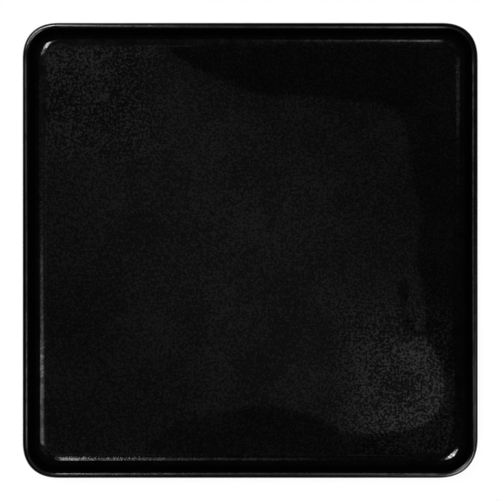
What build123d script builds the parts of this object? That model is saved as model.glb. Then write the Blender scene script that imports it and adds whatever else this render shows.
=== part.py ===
from build123d import *

import os
from math import cos, radians, sin, tan

# Square stoneware dinner plate: a fired clay body and the glaze coats melted onto it.
# Millimetres, +Z up. The origin is the middle of the plane that the foot ring stands on.

# The plate seen from above
plate_width = 270.0  # across the outside of the lip, the same both ways
corner_radius = 19.0  # outside corner of the lip

# The plate seen in section, glaze included
plate_height = 20.0  # table to the crest of the lip
wall_thickness = 4.0  # upstand wall, which ends in a half round lip
wall_lean = 16.0  # degrees that the wall leans outwards from upright
base_thickness = 5.2  # well floor to underside
well_fillet = 7.0  # inside radius from the well floor up into the wall
heel_radius = 9.0  # outside radius from the wall round to the underside

# The foot ring, left bare of glaze
foot_height = 2.5  # table to the glazed underside
foot_width = 4.5  # flat across the resting face and its rounded edges
foot_draft = 14.0  # degrees that each side of the foot spreads towards the plate
foot_edge_radius = 1.2  # rounded edges of the resting face
foot_inset = 27.0  # outside of the lip in to the middle of the foot ring
foot_corner_radius = 15.0  # corner of the foot ring along its middle

# The glaze coats
glaze_thickness = 0.5
glaze_line_drop = 3.5  # the face glaze runs this far down the outer wall from the lip

lean = radians(wall_lean)
lip_radius = wall_thickness / 2
well_level = foot_height + base_thickness
clay_top = well_level - glaze_thickness  # clay under the well
clay_bottom = foot_height + glaze_thickness  # clay over the underside
corner_axis = plate_width / 2 - corner_radius
foot_axis = plate_width / 2 - foot_inset - foot_corner_radius

# Sections are drawn with r outwards from the corner axis and z up from the table.
outward = Vector(cos(lean), -sin(lean))  # square to the wall, away from the well
up_wall = Vector(sin(lean), cos(lean))
lip_centre = Vector(corner_radius - lip_radius, plate_height - lip_radius)


def centre_beside_wall(offset, level):
    # The point at that level and that far inwards from the middle of the wall's thickness.
    start = lip_centre - outward * offset
    return start - up_wall * ((start.Y - level) / cos(lean))


fillet_centre = centre_beside_wall(lip_radius + well_fillet, well_level + well_fillet)
heel_centre = centre_beside_wall(heel_radius - lip_radius, foot_height + heel_radius)


def glaze_line(depth):
    # Where the face glaze ends on the outer wall, at that depth under the fired surface.
    return lip_centre + outward * (lip_radius - depth) - up_wall * glaze_line_drop


def face_skin(depth):
    # Well floor, fillet, inner wall, lip and the top of the outer wall.
    fillet_arc = CenterArc(fillet_centre, well_fillet + depth, -90, 90 - wall_lean)
    lip_arc = CenterArc(lip_centre, lip_radius - depth, 180 - wall_lean, -180)
    return Wire(
        [
            Line((0, well_level - depth), fillet_arc @ 0),
            fillet_arc,
            Line(fillet_arc @ 1, lip_arc @ 0),
            lip_arc,
            Line(lip_arc @ 1, glaze_line(depth)),
        ]
    )


def underside_skin(depth):
    # The rest of the outer wall, the heel and the underside.
    heel_arc = CenterArc(heel_centre, heel_radius - depth, -wall_lean, wall_lean - 90)
    return Wire(
        [
            Line(glaze_line(depth), heel_arc @ 0),
            heel_arc,
            Line(heel_arc @ 1, (0, foot_height + depth)),
        ]
    )


def coat_section(skin):
    # The band between the fired surface and the clay.
    fired, clay = skin(0), skin(glaze_thickness)
    ends = [Line(fired @ 0, clay @ 0), Line(fired @ 1, clay @ 1)]
    return make_face([*fired.edges(), *clay.edges(), *ends])


def clay_section():
    face, underside = face_skin(glaze_thickness), underside_skin(glaze_thickness)
    return make_face([*face.edges(), *underside.edges(), Line(underside @ 1, face @ 0)])


def foot_section():
    # A tapered strip down from the clay underside, with r outwards from the foot's own corner axis.
    half_sole = foot_width / 2
    half_root = half_sole + clay_bottom * tan(radians(foot_draft))
    strip = make_face(
        Polyline(
            (foot_corner_radius - half_root, clay_bottom),
            (foot_corner_radius - half_sole, 0),
            (foot_corner_radius + half_sole, 0),
            (foot_corner_radius + half_root, clay_bottom),
            close=True,
        )
    )
    return fillet(strip.vertices().group_by(Axis.Y)[0], foot_edge_radius)


def run_round(section, axis):
    # Runs a section along four sides and round four corners, whose axes lie that far out both ways.
    upright = Plane.XZ * section
    side = Pos(axis, 0, 0) * extrude(upright, axis, both=True)
    corner = Pos(axis, axis, 0) * revolve(upright, Axis.Z, 90)
    quarter = side + corner
    return quarter + [Rot(0, 0, turn) * quarter for turn in (90, 180, 270)]


def middle(low, high):
    # The square between the corner axes, from one level to another.
    return Pos(0, 0, low) * extrude(Rectangle(2 * corner_axis, 2 * corner_axis), high - low)


foot_ring = run_round(foot_section(), foot_axis)

stoneware_body = run_round(clay_section(), corner_axis) + middle(clay_bottom, clay_top) + foot_ring
face_glaze = run_round(coat_section(face_skin), corner_axis) + middle(clay_top, well_level)
under_coat = run_round(coat_section(underside_skin), corner_axis) + middle(foot_height, clay_bottom)

# The bare foot ring divides the coat under the plate into the part inside it and the part outside it.
under_coats = (under_coat - foot_ring).solids()
recess_glaze, underside_glaze = under_coats.sort_by(lambda coat: coat.bounding_box().size.X)

pieces = {
    "stoneware_body": stoneware_body,
    "face_glaze": face_glaze,
    "underside_glaze": underside_glaze,
    "recess_glaze": recess_glaze,
}

os.makedirs("parts", exist_ok=True)
for name, piece in pieces.items():
    export_step(piece, f"parts/{name}.step")
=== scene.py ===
import math

import bpy
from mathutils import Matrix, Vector
from mathutils.geometry import interpolate_bezier


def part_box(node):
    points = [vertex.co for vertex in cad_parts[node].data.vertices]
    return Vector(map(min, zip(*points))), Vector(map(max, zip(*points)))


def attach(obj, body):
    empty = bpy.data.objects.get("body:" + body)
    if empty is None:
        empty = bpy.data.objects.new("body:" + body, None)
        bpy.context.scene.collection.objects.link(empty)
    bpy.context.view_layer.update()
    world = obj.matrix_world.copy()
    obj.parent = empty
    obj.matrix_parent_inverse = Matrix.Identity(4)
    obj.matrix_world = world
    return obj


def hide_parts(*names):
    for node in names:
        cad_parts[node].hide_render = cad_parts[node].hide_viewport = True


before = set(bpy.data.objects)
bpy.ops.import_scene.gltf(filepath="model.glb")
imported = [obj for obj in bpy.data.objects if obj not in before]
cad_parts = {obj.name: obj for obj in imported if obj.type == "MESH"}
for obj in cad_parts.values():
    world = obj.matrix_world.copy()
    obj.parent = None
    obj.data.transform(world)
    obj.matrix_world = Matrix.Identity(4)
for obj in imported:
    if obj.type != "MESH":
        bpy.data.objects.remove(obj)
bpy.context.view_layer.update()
print("frame loaded:", ", ".join(sorted(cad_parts)))


# Node tree helpers, for geometry and shader trees alike

def addNode(tree, kind, **settings):
    node = tree.nodes.new(kind)
    for name, value in settings.items():
        setattr(node, name, value)
    return node


def feed(tree, socket, source):
    # a socket is linked, anything else is set as a plain value
    if isinstance(source, bpy.types.NodeSocket):
        tree.links.new(source, socket)
    else:
        socket.default_value = source


def feedEach(tree, node, sources):
    for name, source in sources.items():
        feed(tree, node.inputs[name], source)


def calc(tree, operation, *values):
    node = addNode(tree, "ShaderNodeMath", operation=operation)
    for socket, value in zip(node.inputs, values):
        feed(tree, socket, value)
    return node.outputs[0]


def product(tree, first, *others):
    for other in others:
        first = calc(tree, "MULTIPLY", first, other)
    return first


def remap(tree, value, fromLow, fromHigh, toLow, toHigh, smooth=False):
    kind = "SMOOTHSTEP" if smooth else "LINEAR"
    node = addNode(tree, "ShaderNodeMapRange", interpolation_type=kind)
    feedEach(tree, node, {"Value": value, "From Min": fromLow, "From Max": fromHigh,
                          "To Min": toLow, "To Max": toHigh})
    return node.outputs["Result"]


def spread(tree, mask, low, high):
    # low where the mask is 0 and high where it is 1
    return remap(tree, mask, 0.0, 1.0, low, high)


def blendValue(tree, mask, first, second):
    return calc(tree, "MULTIPLY_ADD", mask, calc(tree, "SUBTRACT", second, first), first)


def blendColour(tree, mask, first, second):
    node = addNode(tree, "ShaderNodeMix", data_type="RGBA")
    colours = [(*colour, 1) if isinstance(colour, tuple) else colour for colour in (first, second)]
    feedEach(tree, node, {"Factor": mask, "A": colours[0], "B": colours[1]})
    return node.outputs["Result"]


def noise(tree, coords, size, seed, detail=1.0, rough=0.5):
    node = addNode(tree, "ShaderNodeTexNoise", noise_dimensions="4D")
    feedEach(tree, node, {"Vector": coords, "W": seed, "Scale": calc(tree, "DIVIDE", 1.0, size),
                          "Detail": detail, "Roughness": rough})
    return node.outputs["Fac"]


def split(tree, vector):
    node = addNode(tree, "ShaderNodeSeparateXYZ")
    feed(tree, node.inputs[0], vector)
    return node.outputs


def combine(tree, x, y, z):
    node = addNode(tree, "ShaderNodeCombineXYZ")
    for socket, value in zip(node.inputs, (x, y, z)):
        feed(tree, socket, value)
    return node.outputs[0]


# The plate's section, in metres: r runs outwards from the corner axis, z up from the table

plateShape = {
    "cornerRadius": 0.019,  # outside corner of the lip
    "wallThickness": 0.004,  # the lip is a half round on it
    "lipPower": 2.25,  # whose crest is a little flatter than a circle's
    "wallLean": 16,  # degrees outwards
    "wellFillet": 0.007,
    "filletEase": 0.0022,  # the fillet starts this much sooner and more gently
    "filletEaseEnd": 35,  # degrees
    "wallBow": 0.0001,  # the inner wall is hollow by this
    "heelRadius": 0.009,
    "wellEase": 0.0015,  # the well's corners are rounder by this than the lip's
    "wellEaseRise": (0.0, 0.005),  # from the corner axis out
    "wellEaseFall": (0.009, 0.015),
    "glazeLineDrop": 0.0035,  # face glaze down the outer wall from the lip
    "footWidth": 0.0045,  # across the sole
    "footDraft": 14,  # degrees
    "footEdge": 0.0012,  # rounded edges of the sole
    "footInset": 0.027,  # outside of the lip in to the middle of the foot
    "footCorner": 0.015,  # corner of the foot along its middle
}

faceLow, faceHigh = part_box("face_glaze")
recessLow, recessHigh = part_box("recess_glaze")
halfWidth = faceHigh.x
lipTop = faceHigh.z
underLevel = recessLow.z
glazeDepth = recessHigh.z - recessLow.z
clayLevel = underLevel + glazeDepth
wellLevel = faceLow.z + glazeDepth
cornerAxis = halfWidth - plateShape["cornerRadius"]
footAxis = halfWidth - plateShape["footInset"] - plateShape["footCorner"]

lean = math.radians(plateShape["wallLean"])
outward = Vector((math.cos(lean), -math.sin(lean)))  # square to the wall, away from the well
upWall = Vector((math.sin(lean), math.cos(lean)))
lipRadius = plateShape["wallThickness"] / 2
lipCentre = Vector((plateShape["cornerRadius"] - lipRadius, lipTop - lipRadius))


def besideWall(offset, level):
    start = lipCentre - outward * offset
    return start - upWall * ((start.y - level) / math.cos(lean))


filletCentre = besideWall(lipRadius + plateShape["wellFillet"], wellLevel + plateShape["wellFillet"])
heelCentre = besideWall(plateShape["heelRadius"] - lipRadius, underLevel + plateShape["heelRadius"])


def arc(centre, radius, startDegrees, endDegrees, steps):
    sweep = endDegrees - startDegrees
    turns = [math.radians(startDegrees + sweep * i / steps) for i in range(steps + 1)]
    return [centre + Vector((math.cos(turn), math.sin(turn))) * radius for turn in turns]


def lipArc(radius, steps):
    power = plateShape["lipPower"]
    points = arc(Vector((0, 0)), 1.0, 180 - plateShape["wallLean"], -plateShape["wallLean"], steps)
    raised = [(1 - abs(p.x) ** power) ** (1 / power) if p.y > 0 else p.y for p in points]
    return [lipCentre + Vector((p.x, rise)) * radius for p, rise in zip(points, raised)]


def filletArc(radius, steps):
    turn = 90 - plateShape["wallLean"]
    points = arc(filletCentre, radius, -90, turn - 90, steps)
    for i, point in enumerate(points):
        left = max(1 - turn * i / steps / plateShape["filletEaseEnd"], 0.0)
        point.x -= plateShape["filletEase"] * left * left
    return points


def between(first, last, steps):
    # the points after the first, up to but not including the last
    return [first.lerp(last, i / steps) for i in range(1, steps)]


def outerWall(depth, run):
    return lipCentre + outward * (lipRadius - depth) - upWall * run


def smoothStep(low, high, value):
    t = min(max((value - low) / (high - low), 0.0), 1.0)
    return t * t * (3 - 2 * t)


def ring(point, axis, sway=0.0):
    # half width, corner radius, height, and how far the ring sways with the glaze line
    rise = smoothStep(*plateShape["wellEaseRise"], point.x)
    fall = smoothStep(*plateShape["wellEaseFall"], point.x)
    return (axis + point.x, point.x + plateShape["wellEase"] * rise * (1 - fall), point.y, sway)


def faceSkin(depth, steps):
    # well floor, fillet, inner wall and lip, from the corner axis out
    fillet = filletArc(plateShape["wellFillet"] + depth, steps["fillet"])
    lip = lipArc(lipRadius - depth, steps["lip"])
    floorStart = Vector((0, wellLevel - depth))
    wall = between(fillet[-1], lip[0], steps["wall"])
    for i, point in enumerate(wall, 1):
        t = i / steps["wall"]
        bow = 4 * t * (1 - t)  # 1 half way up
        point += outward * (plateShape["wallBow"] * bow)
    return [floorStart, *between(floorStart, fillet[0], steps["floor"]), *fillet, *wall, *lip]


def heelSkin(depth, steps):
    # outer wall under the glaze line, then the heel
    heel = arc(heelCentre, plateShape["heelRadius"] - depth, -plateShape["wallLean"], -90, steps["heel"])
    start = outerWall(depth, plateShape["glazeLineDrop"])
    return [*between(start, heel[0], steps["wall"]), *heel]


def footSide(level, side):
    # side is 1 on the outside of the foot ring and -1 on the inside
    half = plateShape["footWidth"] / 2 + level * math.tan(math.radians(plateShape["footDraft"]))
    return Vector((plateShape["footCorner"] + side * half, level))


# Geometry Nodes tree: carries a section round a square with rounded corners

roundSquare = {
    "Side Steps": 58,
    "Corner Steps": 24,
    "Corner Reach": 1.17,  # a corner eases into the sides from this much further out
    "Corner Power": 0.83,
    "Blunt Corner": 0.126,  # the +X -Y corner, from this much further still
    "Wave Depth": 0.00022,  # the fired plate is up to this much out of flat
    "Wave Length": 0.11,
    "Sole Level": 0.0006,  # no waves up to this level
    "Free Level": 0.0018,  # and whole ones from this level up
    "Sway Reach": 0.0004,  # the glaze line wanders by this
    "Sway Length": 0.03,
    "Merge Distance": 0.000001,
    "Seed": 3.0,
}


def sectionMesh(name, rings):
    # one point for each ring, holding half width, corner radius and height as its coordinates
    mesh = bpy.data.meshes.new(name)
    mesh.from_pydata([r[:3] for r in rings], [(i, i + 1) for i in range(len(rings) - 1)], [])
    sway = mesh.attributes.new("sway", "FLOAT", "POINT")
    sway.data.foreach_set("value", [r[3] for r in rings])
    return mesh


def makeRoundSquareTree():
    tree = bpy.data.node_groups.new("roundSquare", "GeometryNodeTree")
    kinds = {"Section": "Geometry", "Fill Middle": "Bool", "Finish": "Material"}
    for name, value in roundSquare.items():
        kinds[name] = "Int" if isinstance(value, int) else "Float"
    for name, kind in kinds.items():
        tree.interface.new_socket(name, in_out="INPUT", socket_type="NodeSocket" + kind)
    tree.interface.new_socket("Piece", in_out="OUTPUT", socket_type="NodeSocketGeometry")
    given = addNode(tree, "NodeGroupInput").outputs
    position = addNode(tree, "GeometryNodeInputPosition").outputs[0]
    halfStep = 0.5  # keeps whole numbers clear of rounding

    def divide(count, size):
        # whole parts, and what is left over
        parts = calc(tree, "FLOOR", calc(tree, "DIVIDE", calc(tree, "ADD", count, halfStep), size))
        return parts, calc(tree, "SUBTRACT", count, calc(tree, "MULTIPLY", parts, size))

    def sample(kind, value, at):
        node = addNode(tree, "GeometryNodeSampleIndex", data_type=kind, domain="POINT")
        feedEach(tree, node, {"Geometry": given["Section"], "Value": value, "Index": at})
        return node.outputs["Value"]

    def flatNoise(place, size, rough):
        # the same at every height, so that a coat and the clay under it move together
        flat = addNode(tree, "ShaderNodeVectorMath", operation="MULTIPLY")
        feed(tree, flat.inputs[0], place)
        flat.inputs[1].default_value = (1, 1, 0)
        return noise(tree, flat.outputs[0], size, given["Seed"], rough=rough)

    def move(geometry, **sources):
        node = addNode(tree, "GeometryNodeSetPosition")
        feedEach(tree, node, {"Geometry": geometry, **sources})
        return node.outputs[0]

    def join(*geometries):
        node = addNode(tree, "GeometryNodeJoinGeometry")
        for geometry in geometries:
            feed(tree, node.inputs[0], geometry)
        return node.outputs[0]

    # a sheet of grid points, one row for each ring
    rings = addNode(tree, "GeometryNodeAttributeDomainSize", component="MESH")
    feed(tree, rings.inputs[0], given["Section"])
    ringCount = rings.outputs["Point Count"]
    quarterSteps = calc(tree, "ADD", given["Side Steps"], given["Corner Steps"])
    roundSteps = calc(tree, "MULTIPLY_ADD", quarterSteps, 4.0, 1.0)
    sheet = addNode(tree, "GeometryNodeMeshGrid")
    feedEach(tree, sheet, {"Vertices X": ringCount, "Vertices Y": roundSteps})

    # which ring and which step round it a grid point stands for
    index = addNode(tree, "GeometryNodeInputIndex").outputs[0]
    ringIndex, step = divide(index, roundSteps)
    quarter, within = divide(step, quarterSteps)
    half, radius, level = split(tree, sample("FLOAT_VECTOR", position, ringIndex))
    swayName = addNode(tree, "GeometryNodeInputNamedAttribute", data_type="FLOAT")
    swayName.inputs["Name"].default_value = "sway"
    sway = sample("FLOAT", swayName.outputs["Attribute"], ringIndex)

    def reachBy(*bluntQuarters):
        # one corner came out of the mould blunter, so it reaches further along both its sides
        blunt = 0.0
        for number in bluntQuarters:
            blunt = calc(tree, "ADD", blunt, calc(tree, "COMPARE", quarter, number, halfStep))
        factor = calc(tree, "MULTIPLY_ADD", blunt, given["Blunt Corner"], given["Corner Reach"])
        return calc(tree, "MULTIPLY", radius, factor)

    reach = reachBy(3.0)  # the last quarter ends with that corner
    reachBefore = reachBy(0.0, 4.0)  # the first starts from it, and so does the closing step
    sideHalf = calc(tree, "SUBTRACT", half, reach)
    sideStart = calc(tree, "SUBTRACT", reachBefore, half)

    # along the side first, then round the corner, then turned to its own quarter
    along = calc(tree, "MINIMUM", calc(tree, "DIVIDE", within, given["Side Steps"]), 1.0)
    past = calc(tree, "MAXIMUM", calc(tree, "SUBTRACT", within, given["Side Steps"]), 0.0)
    turn = product(tree, calc(tree, "DIVIDE", past, given["Corner Steps"]), math.pi / 2)

    def eased(wave):
        return calc(tree, "POWER", calc(tree, "MAXIMUM", calc(tree, wave, turn), 0.0), given["Corner Power"])

    x = calc(tree, "MULTIPLY_ADD", reach, eased("COSINE"), sideHalf)
    y = calc(tree, "MULTIPLY_ADD", reach, eased("SINE"), blendValue(tree, along, sideStart, sideHalf))
    turned = addNode(tree, "ShaderNodeVectorRotate", rotation_type="Z_AXIS")
    feedEach(tree, turned, {"Vector": combine(tree, x, y, level),
                            "Angle": product(tree, quarter, math.pi / 2)})
    place = turned.outputs[0]

    # the glaze line wanders up and down the outer wall
    swayNoise = flatNoise(place, given["Sway Length"], rough=0.5)
    wander = calc(tree, "MULTIPLY_ADD", swayNoise, 2.0, -1.0)  # from -1 to 1
    wanderBy = product(tree, wander, given["Sway Reach"], sway)
    wrapped = move(sheet.outputs["Mesh"], Position=place, Offset=combine(tree, 0.0, 0.0, wanderBy))

    def middle(at, flipped):
        # a flat middle that closes the first or the last ring
        middleHalf, _, middleLevel = split(tree, sample("FLOAT_VECTOR", position, at))
        width = calc(tree, "MULTIPLY", middleHalf, 2.0)
        count = calc(tree, "ADD", given["Side Steps"], 1.0)
        grid = addNode(tree, "GeometryNodeMeshGrid")
        feedEach(tree, grid, {"Size X": width, "Size Y": width, "Vertices X": count, "Vertices Y": count})
        moved = addNode(tree, "GeometryNodeTransform")
        feedEach(tree, moved, {"Geometry": grid.outputs["Mesh"],
                               "Translation": combine(tree, 0.0, 0.0, middleLevel)})
        if not flipped:
            return moved.outputs[0]
        flip = addNode(tree, "GeometryNodeFlipFaces")
        feed(tree, flip.inputs["Mesh"], moved.outputs[0])
        return flip.outputs[0]

    choice = addNode(tree, "GeometryNodeSwitch", input_type="GEOMETRY")
    lastRing = calc(tree, "SUBTRACT", ringCount, 1.0)
    middles = join(middle(0, False), middle(lastRing, True))
    feedEach(tree, choice, {"Switch": given["Fill Middle"], "True": middles})
    merged = addNode(tree, "GeometryNodeMergeByDistance")
    whole = join(wrapped, choice.outputs[0])
    feedEach(tree, merged, {"Geometry": whole, "Distance": given["Merge Distance"]})

    # the fired plate is a little uneven: it only sinks, and the sole of the foot stays flat
    wave = flatNoise(position, given["Wave Length"], rough=0.4)
    height = split(tree, position)["Z"]
    held = remap(tree, height, given["Sole Level"], given["Free Level"], 0.0, 1.0, smooth=True)
    sink = product(tree, wave, held, given["Wave Depth"], -1.0)
    waved = move(merged.outputs[0], Offset=combine(tree, 0.0, 0.0, sink))

    smooth = addNode(tree, "GeometryNodeSetShadeSmooth")
    feed(tree, smooth.inputs["Geometry"], waved)
    real = addNode(tree, "GeometryNodeRealizeInstances")
    feed(tree, real.inputs[0], smooth.outputs[0])
    finish = addNode(tree, "GeometryNodeSetMaterial")
    feedEach(tree, finish, {"Geometry": real.outputs[0], "Material": given["Finish"]})
    feed(tree, addNode(tree, "NodeGroupOutput").inputs["Piece"], finish.outputs[0])
    return tree


roundSquareTree = makeRoundSquareTree()


def carryRound(name, rings, material, fillMiddle):
    holder = bpy.data.objects.new(name, sectionMesh(name + "Section", rings))
    bpy.context.scene.collection.objects.link(holder)
    modifier = holder.modifiers.new("roundSquare", "NODES")
    modifier.node_group = roundSquareTree
    wanted = {**roundSquare, "Fill Middle": fillMiddle, "Finish": material}
    for item in roundSquareTree.interface.items_tree:
        if item.in_out == "INPUT" and item.name in wanted:
            modifier[item.identifier] = wanted[item.name]
    bpy.context.view_layer.update()
    mesh = bpy.data.meshes.new_from_object(holder.evaluated_get(bpy.context.evaluated_depsgraph_get()))
    mesh.name = name
    holder.modifiers.remove(modifier)
    section = holder.data
    holder.data = mesh
    bpy.data.meshes.remove(section)
    print(name, len(mesh.vertices), "points", len(mesh.polygons), "faces")
    return holder


# Shader groups

def newGroup(name, inputs, outputs):
    # every group reads coordinates, and the rest are plain values
    tree = bpy.data.node_groups.new(name, "ShaderNodeTree")
    tree.interface.new_socket("Coords", in_out="INPUT", socket_type="NodeSocketVector")
    for socketName in inputs:
        tree.interface.new_socket(socketName, in_out="INPUT", socket_type="NodeSocketFloat")
    for socketName in outputs:
        tree.interface.new_socket(socketName, in_out="OUTPUT", socket_type="NodeSocketFloat")
    return tree, addNode(tree, "NodeGroupInput").outputs, addNode(tree, "NodeGroupOutput").inputs


noiseMiddle = 0.5  # a noise swings about this

speckGrain = {
    "bareLevel": 0.75,  # noise at which specks begin, with no cover asked for
    "coverDrop": 0.5,  # how much sooner they begin with full cover
    "edge": 0.09,  # softness of their edges, in the same noise
}


def makeSpeckGroup():
    # fine crystals that crowd in some places and thin out in others
    tree, given, result = newGroup(
        "glazeSpecks",
        ["Speck Size", "Cover", "Drift Size", "Drift", "Seed"],
        ["Specks", "Crowding", "Height"])
    grain = noise(tree, given["Coords"], given["Speck Size"], given["Seed"], detail=3.0, rough=0.6)
    crowd = noise(tree, given["Coords"], given["Drift Size"], given["Seed"], detail=4.0, rough=0.62)
    lift = product(tree, calc(tree, "SUBTRACT", crowd, noiseMiddle), given["Drift"])
    bare = calc(tree, "MULTIPLY_ADD", given["Cover"], -speckGrain["coverDrop"], speckGrain["bareLevel"])
    start = calc(tree, "SUBTRACT", bare, lift)
    low = calc(tree, "SUBTRACT", start, speckGrain["edge"])
    high = calc(tree, "ADD", start, speckGrain["edge"])
    feed(tree, result["Specks"], remap(tree, grain, low, high, 0.0, 1.0, smooth=True))
    feed(tree, result["Crowding"], crowd)
    feed(tree, result["Height"], calc(tree, "MAXIMUM", calc(tree, "SUBTRACT", grain, low), 0.0))
    return tree


def makeRippleGroup():
    # the slow orange peel of a melted coat, as a height
    tree, given, result = newGroup("glazeRipple", ["Ripple Size", "Seed"], ["Height"])
    feed(tree, result["Height"], noise(tree, given["Coords"], given["Ripple Size"], given["Seed"]))
    return tree


lipPlaces = {
    "bandCore": 0.4,  # share of a band that is full, the rest fades
    "diagonal": 0.02,  # the X sides change over to the Y sides within this of a corner's diagonal
    "ends": (-0.09, -0.015),  # ends of a side, from the corner axis
    "corners": (-0.008, 0.004),  # where a side gives way to its corner
}


def makeLipGroup():
    # a band along the lip, told by the distance from the corner axes
    tree, given, result = newGroup(
        "lipBand", ["Axis", "Crest", "Width"], ["Band", "Across", "Radius", "Ends", "Sides"])
    place = split(tree, given["Coords"])
    sides = [calc(tree, "ABSOLUTE", place[letter]) for letter in "XY"]
    beyondX, beyondY = [calc(tree, "SUBTRACT", side, given["Axis"]) for side in sides]
    outside = [calc(tree, "MAXIMUM", value, 0.0) for value in (beyondX, beyondY)]
    squares = [calc(tree, "MULTIPLY", value, value) for value in outside]
    radius = calc(tree, "SQRT", calc(tree, "ADD", *squares))
    feed(tree, result["Radius"], radius)
    # 1 on the lips that run along X, 0 on the ones along Y
    diagonal = lipPlaces["diagonal"]
    feed(tree, result["Across"],
         remap(tree, calc(tree, "SUBTRACT", beyondY, beyondX), -diagonal, diagonal, 0.0, 1.0))
    # 1 towards the ends of a side, and 1 all along it up to the corner
    inner = calc(tree, "MINIMUM", beyondX, beyondY)
    feed(tree, result["Ends"], remap(tree, inner, *lipPlaces["ends"], 0.0, 1.0))
    feed(tree, result["Sides"], remap(tree, inner, *lipPlaces["corners"], 1.0, 0.0, smooth=True))
    off = calc(tree, "ABSOLUTE", calc(tree, "SUBTRACT", radius, given["Crest"]))
    half = calc(tree, "MULTIPLY", given["Width"], 0.5)
    core = calc(tree, "MULTIPLY", half, lipPlaces["bandCore"])
    feed(tree, result["Band"], remap(tree, off, core, half, 1.0, 0.0, smooth=True))
    return tree


crystalPlaces = {
    "highSheenCorner": (0.045, 0.085),  # from the middle of the well towards -X +Y
    "lowSheenCorner": (0.04, 0.09),  # and towards +X -Y
    "lowShift": 0.02,  # this corner reaches that much further towards +Y
    "lowRimSheen": (0.085, 0.11),
    "rimStart": 0.002,  # the rim's crystals begin this far inside the fillet
    "lip": (0.011, 0.0145),  # inner wall to lip, from the corner axis
}


def makeStrengthAndSheenGroup():
    # how brightly the crystals mirror: a painted sheen makes the -X +Y and +X -Y corners of the well, and the
    # rim by the +X -Y corner, stand out from its middle, where the soft boxes' sheen falls
    tree, given, result = newGroup(
        "crystalStrengthAndSheen",
        ["Radius", "Well Radius", "Middle", "High Sheen End", "Low Sheen End", "Rim", "Low Rim Sheen", "Lip Share"],
        ["Strength", "Rim"])
    x, y, _ = split(tree, given["Coords"])
    lowSheenCorner = calc(tree, "MINIMUM", x, calc(tree, "SUBTRACT", crystalPlaces["lowShift"], y))
    highSheenCorner = calc(tree, "MINIMUM", calc(tree, "MULTIPLY", x, -1.0), y)
    low = remap(tree, lowSheenCorner, *crystalPlaces["lowSheenCorner"], given["Middle"], given["Low Sheen End"],
                smooth=True)
    high = remap(tree, highSheenCorner, *crystalPlaces["highSheenCorner"], given["Middle"], given["High Sheen End"],
                 smooth=True)
    well = calc(tree, "MAXIMUM", low, high)
    rimStart = calc(tree, "SUBTRACT", given["Well Radius"], crystalPlaces["rimStart"])
    rim = remap(tree, given["Radius"], rimStart, given["Well Radius"], 0.0, 1.0, smooth=True)
    lipShare = remap(tree, given["Radius"], *crystalPlaces["lip"], 1.0, given["Lip Share"], smooth=True)
    rimLevel = remap(tree, lowSheenCorner, *crystalPlaces["lowRimSheen"], given["Rim"], given["Low Rim Sheen"], smooth=True)
    feed(tree, result["Rim"], calc(tree, "MULTIPLY", rim, lipShare))
    feed(tree, result["Strength"], blendValue(tree, rim, well, calc(tree, "MULTIPLY", rimLevel, lipShare)))
    return tree


speckGroup = makeSpeckGroup()
rippleGroup = makeRippleGroup()
lipGroup = makeLipGroup()
strengthAndSheenGroup = makeStrengthAndSheenGroup()


def newMaterial(name):
    material = bpy.data.materials.new(name)
    material.use_nodes = True
    tree = material.node_tree
    coords = addNode(tree, "ShaderNodeTexCoord").outputs["Object"]
    return material, tree, tree.nodes["Principled BSDF"], coords


def useGroup(tree, group, coords, values):
    node = addNode(tree, "ShaderNodeGroup", node_tree=group)
    feedEach(tree, node, {"Coords": coords, **values})
    return node.outputs


def bumpFrom(tree, shader, *heights):
    # each height is a value and how many metres a step of 1 in it stands for
    total = 0.0
    for value, depth in heights:
        total = calc(tree, "MULTIPLY_ADD", value, depth, total)
    bump = addNode(tree, "ShaderNodeBump")
    feedEach(tree, bump, {"Strength": 1.0, "Distance": 1.0, "Height": total})
    feed(tree, shader.inputs["Normal"], bump.outputs["Normal"])


# Face glaze: gloss black with fine grey crystals, which mirror more than the black does

faceFinish = {
    "black": (0.0011, 0.0009, 0.001),
    "roughness": (0.04, 0.06),  # between the crystals and on them
    "refraction": 1.5,
    "gloss": 0.3,  # mirror of the black glaze, 0.5 is a clear one
    "ripple": {"Ripple Size": 0.0035, "Seed": 2.0},
    "rippleDepth": 0.00004,
    "crystals": {"Speck Size": 0.0013, "Cover": 0.44, "Drift Size": 0.03, "Drift": 0.31, "Seed": 1.0},
    "crystalRefraction": 2.33,
    "crystalRoughness": 0.065,
    "crystalDepth": 0.00005,
    "cornerSmooth": 0.9,  # share of it that the corners of the lip lack
    # the well's middle and its two corners of painted sheen, the rim and its low corner of painted sheen, and
    # the lip's share of the rim's
    "crystalStrengthAndSheen": {"Middle": 0.28, "High Sheen End": 0.85, "Low Sheen End": 1.05, "Rim": 0.45, "Low Rim Sheen": 0.75,
                        "Lip Share": 0.5},
    "breaks": {"Speck Size": 0.006, "Cover": 0.6, "Drift Size": 0.05, "Drift": 0.2, "Seed": 4.0},
    "rimCoat": 0.15,  # shine of the rim between its crystals
    "rimBreaks": (0.35, 1.35),  # the rim's shine in a break and out of it
    "thinLineAndHighlight": (0.027, 0.026, 0.0255),  # lighter where the coat thins over the lip, and partly a painted highlight along its crest
    "thinEndsAndHighlight": (0.08, 0.0775, 0.075),  # and towards its corners, where the painted highlight is brighter
    "thinEndsHighlightShare": (0.4, 1.0),  # on the Y and the X sides
    "lipLineCrest": 0.0163,  # from the corner axis
    "lipLineSlant": 0.0019,  # it runs nearer the well on the +X side
    "lipLineTwist": 0.037,  # and further out towards the -X +Y and +X -Y corners
    "lipLineWidth": 0.0013,
    "lipLineCorner": 0.15,  # what is left of it round a corner
    "lipLineBreak": 0.45,  # and in a break
    "crestShift": 0.0003,  # the crest's crystals lie this much further out
    "crestWidth": 0.0024,
    "crestCrystalsAndHighlight": (0.1, 0.45),  # on the Y and the X sides, more on the X sides as a painted highlight
    "lipWidth": 0.0044,
    "lipUneven": {"Ripple Size": 0.003, "Seed": 5.0},
    "lipDepth": 0.00006,
}


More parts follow.
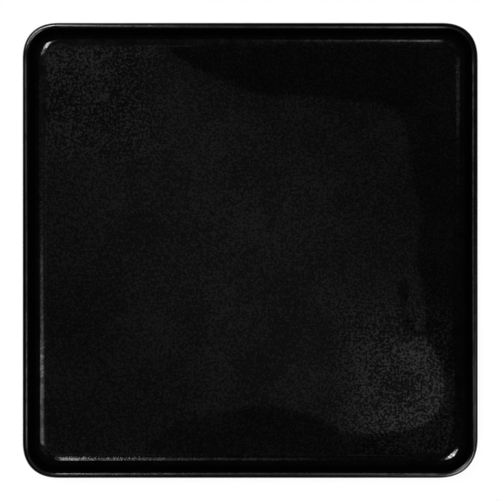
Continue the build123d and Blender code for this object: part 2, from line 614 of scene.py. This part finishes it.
def makeFaceMaterial():
    material, tree, shader, coords = newMaterial("speckledBlackGlaze")
    specks = useGroup(tree, speckGroup, coords, faceFinish["crystals"])
    breaks = useGroup(tree, speckGroup, coords, faceFinish["breaks"])
    ripple = useGroup(tree, rippleGroup, coords, faceFinish["ripple"])
    uneven = useGroup(tree, rippleGroup, coords, faceFinish["lipUneven"])

    # where the thin line of painted highlight lies, and two wider bands along the lip
    x, y, _ = split(tree, coords)
    crestAt = calc(tree, "MULTIPLY_ADD", x, -faceFinish["lipLineSlant"], faceFinish["lipLineCrest"])
    twist = calc(tree, "MINIMUM", calc(tree, "MULTIPLY", x, y), 0.0)
    crestAt = calc(tree, "MULTIPLY_ADD", twist, -faceFinish["lipLineTwist"], crestAt)
    outerCrest = calc(tree, "ADD", crestAt, faceFinish["crestShift"])

    def lipBand(crest, width):
        return useGroup(tree, lipGroup, coords, {"Axis": cornerAxis, "Crest": crest, "Width": width})

    line = lipBand(crestAt, faceFinish["lipLineWidth"])
    crest = lipBand(outerCrest, faceFinish["crestWidth"])
    wholeLip = lipBand(lipCentre.x, faceFinish["lipWidth"])

    # the clay's grey shows through the thin line, mostly at the ends of a side, and the line is partly a
    # painted highlight along the lip
    unbroken = spread(tree, breaks["Specks"], faceFinish["lipLineBreak"], 1.0)
    uncornered = spread(tree, line["Sides"], faceFinish["lipLineCorner"], 1.0)
    thinLineAndHighlight = product(tree, line["Band"], unbroken, uncornered)
    endsThinningAndHighlight = product(tree, line["Ends"], spread(tree, line["Across"], *faceFinish["thinEndsHighlightShare"]))
    thinAndHighlightColour = blendColour(tree, endsThinningAndHighlight, faceFinish["thinLineAndHighlight"], faceFinish["thinEndsAndHighlight"])
    feed(tree, shader.inputs["Base Color"], blendColour(tree, thinLineAndHighlight, faceFinish["black"], thinAndHighlightColour))

    # crystals mirror as a second coat, with a painted sheen in two corners of the well, and come and go along
    # the rim
    strength = useGroup(tree, strengthAndSheenGroup, coords, {
        "Radius": crest["Radius"], "Well Radius": filletCentre.x, **faceFinish["crystalStrengthAndSheen"]})
    patchy = spread(tree, breaks["Specks"], *faceFinish["rimBreaks"])
    rimPatch = blendValue(tree, strength["Rim"], 1.0, patchy)
    crystals = product(tree, specks["Specks"], strength["Strength"], rimPatch)
    rimShine = product(tree, strength["Rim"], patchy, faceFinish["rimCoat"])
    # painted highlight: the lip's crest mirrors more on the X sides than on the Y sides
    lipShineAndHighlight = product(tree, crest["Band"], spread(tree, crest["Across"], *faceFinish["crestCrystalsAndHighlight"]))
    coat = calc(tree, "MAXIMUM", calc(tree, "MAXIMUM", crystals, rimShine), lipShineAndHighlight)
    feed(tree, shader.inputs["Coat Weight"], coat)
    feed(tree, shader.inputs["Roughness"], spread(tree, specks["Specks"], *faceFinish["roughness"]))

    # no crystals stand up where the coat runs thin round a corner of the lip
    cornerLip = product(tree, wholeLip["Band"], calc(tree, "SUBTRACT", 1.0, wholeLip["Sides"]))
    standing = calc(tree, "MULTIPLY_ADD", cornerLip, -faceFinish["cornerSmooth"], 1.0)
    speckHeight = product(tree, specks["Height"], standing)
    lipHeight = product(tree, wholeLip["Band"], calc(tree, "SUBTRACT", uneven["Height"], noiseMiddle))
    bumpFrom(tree, shader, (ripple["Height"], faceFinish["rippleDepth"]),
             (speckHeight, faceFinish["crystalDepth"]), (lipHeight, faceFinish["lipDepth"]))
    feedEach(tree, shader, {"IOR": faceFinish["refraction"], "Specular IOR Level": faceFinish["gloss"],
                            "Coat IOR": faceFinish["crystalRefraction"],
                            "Coat Roughness": faceFinish["crystalRoughness"]})
    return material


# Underside glaze: plain black, duller

underFinish = {
    "black": (0.006, 0.006, 0.006),
    "bloom": (0.013, 0.0125, 0.0125),
    "roughness": (0.34, 0.5),
    "specks": {"Speck Size": 0.0016, "Cover": 0.4, "Drift Size": 0.05, "Drift": 0.3, "Seed": 7.0},
    "ripple": {"Ripple Size": 0.004, "Seed": 8.0},
    "rippleDepth": 0.00003,
}


def makeUnderMaterial():
    material, tree, shader, coords = newMaterial("plainBlackGlaze")
    specks = useGroup(tree, speckGroup, coords, underFinish["specks"])
    ripple = useGroup(tree, rippleGroup, coords, underFinish["ripple"])
    colour = blendColour(tree, specks["Crowding"], underFinish["black"], underFinish["bloom"])
    feed(tree, shader.inputs["Base Color"], colour)
    feed(tree, shader.inputs["Roughness"], spread(tree, specks["Specks"], *underFinish["roughness"]))
    bumpFrom(tree, shader, (ripple["Height"], underFinish["rippleDepth"]))
    return material


# Bare clay

clayFinish = {
    "pale": (0.42, 0.34, 0.265),
    "dark": (0.3, 0.235, 0.18),
    "iron": (0.07, 0.045, 0.03),
    "roughness": 0.85,
    "grain": {"Speck Size": 0.0009, "Cover": 0.5, "Drift Size": 0.02, "Drift": 0.3, "Seed": 11.0},
    "ironSpots": {"Speck Size": 0.0014, "Cover": 0.12, "Drift Size": 0.015, "Drift": 0.15, "Seed": 12.0},
    "grainDepth": 0.00008,
}


def makeClayMaterial():
    material, tree, shader, coords = newMaterial("bareStoneware")
    grain = useGroup(tree, speckGroup, coords, clayFinish["grain"])
    iron = useGroup(tree, speckGroup, coords, clayFinish["ironSpots"])
    clay = blendColour(tree, grain["Specks"], clayFinish["pale"], clayFinish["dark"])
    feed(tree, shader.inputs["Base Color"], blendColour(tree, iron["Specks"], clay, clayFinish["iron"]))
    shader.inputs["Roughness"].default_value = clayFinish["roughness"]
    bumpFrom(tree, shader, (grain["Specks"], clayFinish["grainDepth"]))
    return material


faceMaterial = makeFaceMaterial()
underMaterial = makeUnderMaterial()
clayMaterial = makeClayMaterial()
print("materials made")


# Face glaze

faceCoat = {
    "skin": {"floor": 3, "fillet": 24, "wall": 8, "lip": 44},
    "back": {"floor": 3, "fillet": 10, "wall": 2, "lip": 14},
    "bead": 0.00012,  # the coat stands this proud where it ends
    "beadLength": 0.0012,
    # shares of its length, its height and the glaze line's sway, down to the line
    "beadRoll": ((1.0, 0.0, 0.0), (0.6, 0.6, 0.5), (0.3, 1.0, 1.0), (0.1, 0.8, 1.0), (0.0, 0.0, 1.0)),
}


def makeFaceGlaze():
    drop = plateShape["glazeLineDrop"]
    rings = [ring(p, cornerAxis) for p in faceSkin(0, faceCoat["skin"])]
    for above, proud, sway in faceCoat["beadRoll"]:
        point = outerWall(-proud * faceCoat["bead"], drop - above * faceCoat["beadLength"])
        rings.append(ring(point, cornerAxis, sway))
    rings.append(ring(outerWall(glazeDepth, drop), cornerAxis, 1.0))
    rings += [ring(p, cornerAxis) for p in reversed(faceSkin(glazeDepth, faceCoat["back"]))]
    return carryRound("faceGlaze", rings, faceMaterial, True)


# Underside glaze, from the glaze line round the heel to the foot

underCoat = {
    "skin": {"wall": 4, "heel": 16},
    "edge": 0.0003,  # rounded edge beside the foot
    "edgeTurns": (90, 120.6, 149.4, 180),  # degrees
}


def coatEdge(side):
    # side is 1 on the outside of the foot ring and -1 on the inside
    edge = underCoat["edge"]
    centre = footSide(underLevel, side) + Vector((side * edge, edge))
    turns = [math.radians(degrees) for degrees in underCoat["edgeTurns"]]
    points = [centre + Vector((side * math.cos(turn), -math.sin(turn))) * edge for turn in turns]
    return [ring(p, footAxis) for p in points]


def makeUnderGlaze():
    drop = plateShape["glazeLineDrop"]
    start = ring(outerWall(0, drop), cornerAxis, 1.0)
    rings = [start, *[ring(p, cornerAxis) for p in heelSkin(0, underCoat["skin"])]]
    rings += coatEdge(1)
    rings.append(ring(footSide(clayLevel, 1), footAxis))
    rings += [ring(p, cornerAxis) for p in reversed(heelSkin(glazeDepth, underCoat["skin"]))]
    rings += [ring(outerWall(glazeDepth, drop), cornerAxis, 1.0), start]
    return carryRound("undersideGlaze", rings, underMaterial, False)


# Glaze inside the foot ring

def makeRecessGlaze():
    rings = [ring(Vector((0, clayLevel)), footAxis), ring(footSide(clayLevel, -1), footAxis)]
    rings += reversed(coatEdge(-1))
    rings.append(ring(Vector((0, underLevel)), footAxis))
    return carryRound("recessGlaze", rings, underMaterial, True)


# Clay body with its foot ring

clayBody = {
    "skin": {"floor": 3, "fillet": 10, "wall": 2, "lip": 14},
    "heel": {"wall": 3, "heel": 12},
    "sole": 6,
}


def makeClayBody():
    rings = [ring(p, cornerAxis) for p in faceSkin(glazeDepth, clayBody["skin"])]
    rings.append(ring(outerWall(glazeDepth, plateShape["glazeLineDrop"]), cornerAxis, 1.0))
    rings += [ring(p, cornerAxis) for p in heelSkin(glazeDepth, clayBody["heel"])]
    # down the outside of the foot, over its sole and up the inside
    draft = plateShape["footDraft"]
    edge = plateShape["footEdge"]
    setBack = edge * math.tan(math.radians((90 - draft) / 2))
    soleHalf = plateShape["footWidth"] / 2 - setBack
    outerEdge = Vector((plateShape["footCorner"] + soleHalf, edge))
    innerEdge = Vector((plateShape["footCorner"] - soleHalf, edge))
    rings.append(ring(footSide(clayLevel, 1), footAxis))
    rings += [ring(p, footAxis) for p in arc(outerEdge, edge, -draft, -90, clayBody["sole"])]
    rings += [ring(p, footAxis) for p in arc(innerEdge, edge, -90, draft - 180, clayBody["sole"])]
    rings += [ring(footSide(clayLevel, -1), footAxis), ring(Vector((0, clayLevel)), footAxis)]
    return carryRound("clayBody", rings, clayMaterial, True)


for piece, node, slot in ((makeFaceGlaze(), "face_glaze", "speckled_glaze"),
                          (makeUnderGlaze(), "underside_glaze", "plain_glaze"),
                          (makeRecessGlaze(), "recess_glaze", "plain_glaze"),
                          (makeClayBody(), "stoneware_body", "stoneware")):
    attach(piece, "root")
    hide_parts(node)
print("plate made")


# Camera, straight above the plate

view = {
    "distance": 1.5,  # camera above the centre of the lip's round
    "platePixels": 455.2,  # the plate's width in the photograph
    "framePixels": 500,
    "aside": (-0.00013, 0.00023),  # camera off the plate's middle
    "sensor": 36,
}


def makeCamera():
    data = bpy.data.cameras.new("camera")
    data.sensor_width = view["sensor"]
    frameWidth = 2 * halfWidth * view["framePixels"] / view["platePixels"]
    data.lens = data.sensor_width * view["distance"] / frameWidth
    camera = bpy.data.objects.new("camera", data)
    camera.location = (*view["aside"], lipCentre.y + view["distance"])
    bpy.context.scene.collection.objects.link(camera)
    bpy.context.scene.camera = camera


# Helpers for the floor and the glow cards

def squareOutline(half):
    return [(-half, -half), (half, -half), (half, half), (-half, half)]


def curveThrough(points, steps):
    # a closed smooth line through the points
    loop = [Vector(point) for point in points]
    count = len(loop)
    headings = [(loop[(i + 1) % count] - loop[i - 1]).normalized() for i in range(count)]
    curve = []
    for i, first in enumerate(loop):
        last = loop[(i + 1) % count]
        reach = (last - first).length / 3
        handles = first + headings[i] * reach, last - headings[(i + 1) % count] * reach
        curve += [point.xy for point in interpolate_bezier(first, *handles, last, steps + 1)[:-1]]
    return curve


def flatPiece(name, outline, level):
    # one flat face, with the empty tree of its own material
    mesh = bpy.data.meshes.new(name)
    mesh.from_pydata([(x, y, level) for x, y in outline], [], [list(range(len(outline)))])
    piece = bpy.data.objects.new(name, mesh)
    bpy.context.scene.collection.objects.link(piece)
    material = bpy.data.materials.new(name)
    material.use_nodes = True
    material.node_tree.nodes.clear()
    mesh.materials.append(material)
    return piece, material.node_tree


def addShaders(tree, first, second):
    both = addNode(tree, "ShaderNodeAddShader")
    feed(tree, both.inputs[0], first.outputs[0])
    feed(tree, both.inputs[1], second.outputs[0])
    feed(tree, addNode(tree, "ShaderNodeOutputMaterial").inputs["Surface"], both.outputs[0])


# Floor

floorLook = {
    "size": 40.0,
    "drop": 0.0001,  # under the foot
    "colour": (0.12, 0.12, 0.12),
    "glow": 0.93,  # what the floor adds to its own light, to read as white
}


def makeFloor():
    floor, tree = flatPiece("floor", squareOutline(floorLook["size"] / 2), 0.0)
    floor.location.z = -floorLook["drop"]
    matte = addNode(tree, "ShaderNodeBsdfDiffuse")
    matte.inputs["Color"].default_value = (*floorLook["colour"], 1)
    glow = addNode(tree, "ShaderNodeEmission")
    path = addNode(tree, "ShaderNodeLightPath").outputs
    seen = calc(tree, "MAXIMUM", path["Is Camera Ray"], path["Is Glossy Ray"])
    seen = calc(tree, "MAXIMUM", seen, path["Is Transmission Ray"])
    feed(tree, glow.inputs["Strength"], calc(tree, "MULTIPLY", seen, floorLook["glow"]))
    addShaders(tree, matte, glow)


# Soft boxes, which face down

softBoxes = {
    "level": 6.0,
    "boxes": (
        # name, low x, low y, high x, high y, light
        ("topLeftBox", -3.1, 1.1, -0.8, 3.9, 5.3),
        ("topLeftCore", -1.9, 1.05, -0.72, 2.4, 26.0),
        ("topLeftSpill", -0.82, 1.6, -0.53, 3.7, 3.5),
        ("topLeftEdge", -0.53, 1.6, -0.2, 3.7, 0.27),
        ("topLeftFaint", -0.2, 1.6, 0.15, 3.7, 0.13),
        ("topLeftHaze", -3.1, 0.35, -0.9, 1.05, 0.08),
        ("lowRightBox", 1.0, -3.8, 2.9, -1.2, 6.6),
        ("lowRightCore", 1.0, -2.1, 2.4, -1.05, 15.5),
        ("lowRightGap", 1.35, -1.0, 3.3, -0.62, 0.7),
        ("lowRightSpill", 1.35, -0.62, 3.5, -0.27, 1.5),
        ("lowRightSoft", 0.75, -0.62, 1.35, -0.27, 0.6),
        ("lowRightEdge", 1.35, -0.27, 3.3, 0.0, 0.36),
        ("lowRightTail", 0.48, -4.4, 1.0, -2.4, 0.95),
        ("lowRightFaint", 0.13, -4.4, 0.48, -2.4, 0.14),
        ("rightHaze", 0.7, -6.0, 6.0, 2.5, 0.042),
        ("lowHaze", -2.5, -6.0, 0.7, -0.7, 0.03),
    ),
}


def makeBox(name, lowX, lowY, highX, highY, radiance):
    lamp = bpy.data.lights.new(name, "AREA")
    lamp.shape = "RECTANGLE"
    lamp.size = highX - lowX
    lamp.size_y = highY - lowY
    lamp.energy = radiance * math.pi * lamp.size * lamp.size_y  # watts
    box = bpy.data.objects.new(name, lamp)
    box.location = ((lowX + highX) / 2, (lowY + highY) / 2, softBoxes["level"])
    bpy.context.scene.collection.objects.link(box)


# Glow cards over the plate, which the well mirrors: places on them are as the well shows them

cardGrid = {
    "tint": (1.0, 0.965, 1.0),
    "slant": (0.002, 0.007),  # the grid holds the light back from this to this slant
    "rim": (0.096, 0.108),  # and is coarser along three sides, over the fillets
    "rimShare": 0.15,  # where a slant counts for this much
}

glowCard = {
    "level": 0.1,
    # what its outline runs through
    "outline": (
        (-0.2, 0.2), (-0.075, 0.135), (-0.028, 0.106), (0.0, 0.0945), (0.044, 0.0905), (0.084, 0.084),
        (0.0925, 0.07), (0.096, 0.042), (0.102, 0.021), (0.0985, -0.003), (0.1035, -0.026), (0.103, -0.0455),
        (0.0985, -0.0475), (0.093, -0.036), (0.0908, -0.018), (0.0903, -0.036), (0.095, -0.0495),
        (0.1045, -0.0525), (0.115, -0.078), (0.1075, -0.1), (0.089, -0.107), (0.058, -0.108), (0.037, -0.098),
        (0.01, -0.0925), (-0.042, -0.102), (-0.065, -0.1195), (-0.2, -0.2),
    ),
    "steps": 6,  # from one of these to the next
    "lowLeft": 0.039,  # light at this end
    "diagonal": 0.1,  # along the diagonal between
    "topRight": 0.053,  # and at the other end
    "fromLowLeft": (-0.165, -0.02),  # x + y from the one to the next
    "toTopRight": (0.04, 0.13),
    "leftShare": 0.8,  # what is left at the left edge
    "leftEdge": (-0.125, -0.055),
    "topLeft": 0.04,  # light in two of its corners
    "lowRight": 0.138,
    "corners": (0.045, 0.085),  # which set in this far from the middle
}

veilCard = {
    # a fainter card over the whole plate
    "level": 0.11,
    "half": 0.2,
    "top": 0.022,
    "low": 0.039,
    "lowRight": 0.005,
    "toTop": (-0.1, 0.1),
    "toLowRight": (0.03, 0.07),
}


def glowCardLight(tree, x, y):
    minusX, minusY = [calc(tree, "MULTIPLY", value, -1.0) for value in (x, y)]
    across = calc(tree, "ADD", x, y)
    low = remap(tree, across, *glowCard["fromLowLeft"], glowCard["lowLeft"], glowCard["diagonal"],
                smooth=True)
    high = remap(tree, across, *glowCard["toTopRight"], glowCard["diagonal"], glowCard["topRight"],
                 smooth=True)
    left = remap(tree, x, *glowCard["leftEdge"], glowCard["leftShare"], 1.0, smooth=True)
    light = product(tree, calc(tree, "MINIMUM", low, high), left)
    for towardsX, towardsY, corner in ((minusX, y, "topLeft"), (x, minusY, "lowRight")):
        inner = calc(tree, "MINIMUM", towardsX, towardsY)
        mask = remap(tree, inner, *glowCard["corners"], 0.0, 1.0, smooth=True)
        light = blendValue(tree, mask, light, glowCard[corner])
    return light


def veilCardLight(tree, x, y):
    low = remap(tree, x, *veilCard["toLowRight"], veilCard["low"], veilCard["lowRight"], smooth=True)
    return remap(tree, y, *veilCard["toTop"], low, veilCard["top"], smooth=True)


def makeCard(name, outline, height, lightAt):
    # mirrored in the well a card looks smaller than it is
    grow = 1 + height / view["distance"]
    card, tree = flatPiece(name, [(x * grow, y * grow) for x, y in outline], height)
    # its grid lets light out only towards the photograph's viewpoint, by way of the well
    mesh = card.data
    mesh.shade_smooth()
    facing = [Vector((v.co.x, v.co.y, height + view["distance"])).normalized() for v in mesh.vertices]
    mesh.normals_split_custom_set_from_vertices(facing)
    place = split(tree, addNode(tree, "ShaderNodeTexCoord").outputs["Object"])
    x, y = [calc(tree, "DIVIDE", place[letter], grow) for letter in "XY"]
    rim = calc(tree, "MAXIMUM", calc(tree, "MULTIPLY", x, -1.0), calc(tree, "ABSOLUTE", y))
    share = remap(tree, rim, *cardGrid["rim"], 1.0, cardGrid["rimShare"])
    slant = product(tree, addNode(tree, "ShaderNodeLayerWeight").outputs["Facing"], share)
    passed = remap(tree, slant, *cardGrid["slant"], 1.0, 0.0, smooth=True)
    glow = addNode(tree, "ShaderNodeEmission")
    glow.inputs["Color"].default_value = (*cardGrid["tint"], 1)
    feed(tree, glow.inputs["Strength"], product(tree, lightAt(tree, x, y), passed))
    addShaders(tree, glow, addNode(tree, "ShaderNodeBsdfTransparent"))
    card.visible_camera = False
    card.visible_shadow = False


# Room round the plate

room = {
    "dim": 0.016,  # above the plate
    "horizon": 0.9,
    "edge": (0.008, 0.028),  # height of the horizon's edge, as the sine of its angle
}


def makeRoom():
    world = bpy.data.worlds.new("room")
    world.use_nodes = True
    tree = world.node_tree
    height = split(tree, addNode(tree, "ShaderNodeTexCoord").outputs["Generated"])["Z"]
    light = remap(tree, height, *room["edge"], room["horizon"], room["dim"], smooth=True)
    grey = addNode(tree, "ShaderNodeCombineColor")
    for socket in grey.inputs:
        feed(tree, socket, light)
    feed(tree, tree.nodes["Background"].inputs["Color"], grey.outputs[0])
    bpy.context.scene.world = world


makeCamera()
makeFloor()
for box in softBoxes["boxes"]:
    makeBox(*box)
makeCard("glowCard", curveThrough(glowCard["outline"], glowCard["steps"]), glowCard["level"], glowCardLight)
makeCard("veilCard", squareOutline(veilCard["half"]), veilCard["level"], veilCardLight)
makeRoom()
bpy.context.scene.view_settings.view_transform = "Standard"
print("studio made")
